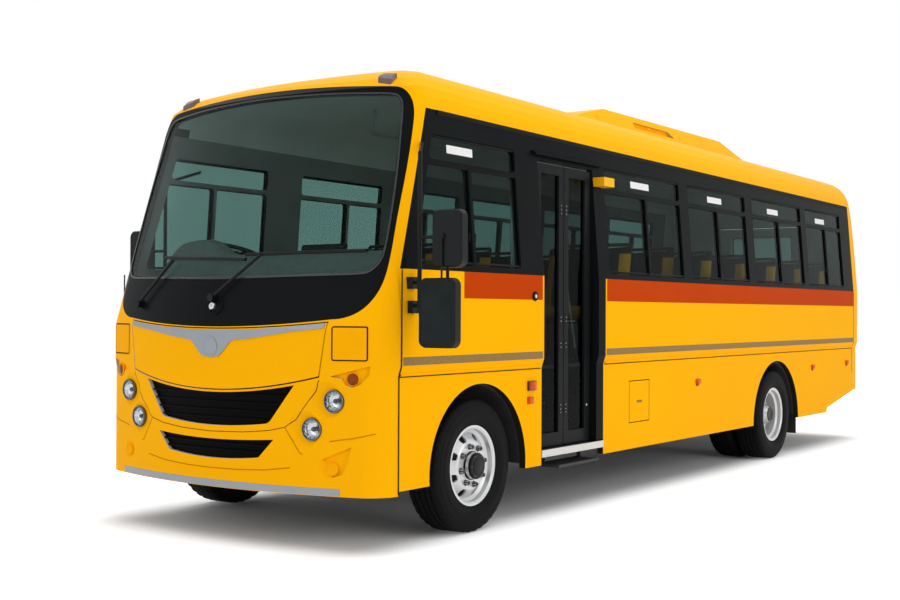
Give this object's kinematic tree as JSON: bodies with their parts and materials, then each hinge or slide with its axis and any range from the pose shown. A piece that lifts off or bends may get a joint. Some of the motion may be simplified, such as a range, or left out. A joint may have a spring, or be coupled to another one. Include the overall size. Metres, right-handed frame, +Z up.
{
  "type": "school bus",
  "caption": "Midi school bus with hollow body, folding entrance door, twin rear wheels, steering, front service lid, skirt hatch and rear emergency door.",
  "frame": {"origin": "on the ground, midway along the bus and midway between its sides", "axes": "+Z up, the front faces -Y, +X is the entrance side (the left of the bus)"},
  "size_m": [2.984, 8.28, 2.9049],
  "materials": {
    "yellow_paint": "gloss",
    "black_paint": "satin",
    "chassis_black": "matt",
    "glass_tint": "polished",
    "silver_metal": "satin",
    "rubber_tyre": "matt",
    "black_plastic": "fine grain",
    "lamp_clear": "clear",
    "lamp_amber": "clear",
    "lamp_red": "clear",
    "seat_fabric": "woven",
    "floor_vinyl": "ribbed",
    "engine_iron": "rough"
  },
  "bodies": {
    "bus_body": {"side_left": "yellow_paint", "side_right": "yellow_paint", "roof_shell": "yellow_paint", "roof_pod": "yellow_paint", "front_fascia": "yellow_paint", "rear_panel": "yellow_paint", "window_bands": "black_paint", "windscreen_surround": "black_paint", "windscreen": "glass_tint", "side_glass": "glass_tint", "grilles": "black_plastic", "headlamps": "lamp_clear", "amber_lamps": "lamp_amber", "rear_lamps": "lamp_red", "entrance_sill": "silver_metal", "stepwell": "chassis_black", "floor_deck": "floor_vinyl", "engine_cover": "black_plastic", "engine_block": "engine_iron", "frame_rails": "chassis_black", "frame_members": "chassis_black", "tow_brackets": "chassis_black", "leaf_springs": "chassis_black", "front_axle_beam": "chassis_black", "rear_axle": "chassis_black", "fuel_tank": "chassis_black", "exhaust": "chassis_black", "wheel_guards": "black_plastic", "seats": "seat_fabric", "driver_seat": "seat_fabric", "steering_column": "black_plastic", "dashboard": "black_plastic", "mirrors": "black_plastic", "wipers": "black_plastic"},
    "knuckle_left": {"knuckle_left": "chassis_black"},
    "knuckle_right": {"knuckle_right": "chassis_black"},
    "steering_wheel": {"steering_wheel": "black_plastic"},
    "entrance_leaf_front": {"door_leaf_front": "black_paint", "door_glass_front": "glass_tint"},
    "entrance_leaf_rear": {"door_leaf_rear": "black_paint", "door_glass_rear": "glass_tint"},
    "hatch": {"skirt_hatch": "yellow_paint"},
    "front_lid": {"service_lid": "yellow_paint"},
    "rear_emergency_door": {"rear_door": "yellow_paint", "rear_door_glass": "glass_tint"},
    "front_wheel_left": {"wheel_front_left": "silver_metal", "tyre_front_left": "rubber_tyre"},
    "rear_wheel_left": {"wheel_rear_left": "silver_metal", "tyres_rear_left": "rubber_tyre"},
    "front_wheel_right": {"wheel_front_right": "silver_metal", "tyre_front_right": "rubber_tyre"},
    "rear_wheel_right": {"wheel_rear_right": "silver_metal", "tyres_rear_right": "rubber_tyre"}
  },
  "joints": [
    {"name": "steer_left", "type": "hinge", "parent": "bus_body", "child": "knuckle_left", "pos_m": [0.8, -3.042, 0.392], "axis": [0, 0, 1], "range_deg": [-35, 35]},
    {"name": "steer_right", "type": "hinge", "parent": "bus_body", "child": "knuckle_right", "pos_m": [-0.8, -3.042, 0.392], "axis": [0, 0, 1], "range_deg": [-35, 35]},
    {"name": "steering_turn", "type": "hinge", "parent": "bus_body", "child": "steering_wheel", "pos_m": [-0.65, -3.29, 1.64], "axis": [0, 0.3511, 0.9363], "range_deg": [-570, 570]},
    {"name": "door_fold", "type": "hinge", "parent": "bus_body", "child": "entrance_leaf_front", "pos_m": [1.033, -2.323, 1.3], "axis": [0, 0, 1], "range_deg": [0, 84]},
    {"name": "door_leaf_link", "type": "hinge", "parent": "entrance_leaf_front", "child": "entrance_leaf_rear", "pos_m": [1.054, -2.0025, 1.3], "axis": [0, 0, 1], "range_deg": [-168, 0]},
    {"name": "hatch_open", "type": "hinge", "parent": "bus_body", "child": "hatch", "pos_m": [1.1, -1.006, 0.809], "axis": [0, -1, 0], "range_deg": [0, 100]},
    {"name": "front_lid_open", "type": "hinge", "parent": "bus_body", "child": "front_lid", "pos_m": [0, -4.1, 1.3], "axis": [-1, 0, 0], "range_deg": [0, 75]},
    {"name": "rear_door_open", "type": "hinge", "parent": "bus_body", "child": "rear_emergency_door", "pos_m": [-0.455, 4.122, 1.6], "axis": [0, 0, 1], "range_deg": [0, 110]},
    {"name": "front_wheel_spin_left", "type": "hinge", "parent": "knuckle_left", "child": "front_wheel_left", "pos_m": [0.95, -3.042, 0.392], "axis": [1, 0, 0], "continuous": true},
    {"name": "rear_wheel_spin_left", "type": "hinge", "parent": "bus_body", "child": "rear_wheel_left", "pos_m": [0.8325, 1.68, 0.392], "axis": [1, 0, 0], "continuous": true},
    {"name": "front_wheel_spin_right", "type": "hinge", "parent": "knuckle_right", "child": "front_wheel_right", "pos_m": [-0.95, -3.042, 0.392], "axis": [1, 0, 0], "continuous": true},
    {"name": "rear_wheel_spin_right", "type": "hinge", "parent": "bus_body", "child": "rear_wheel_right", "pos_m": [-0.8325, 1.68, 0.392], "axis": [1, 0, 0], "continuous": true}
  ],
  "couplings": [
    {"joint": "steer_right", "follows": "steer_left", "ratio": 1},
    {"joint": "steering_turn", "follows": "steer_left", "ratio": 16},
    {"joint": "door_leaf_link", "follows": "door_fold", "ratio": -2}
  ]
}
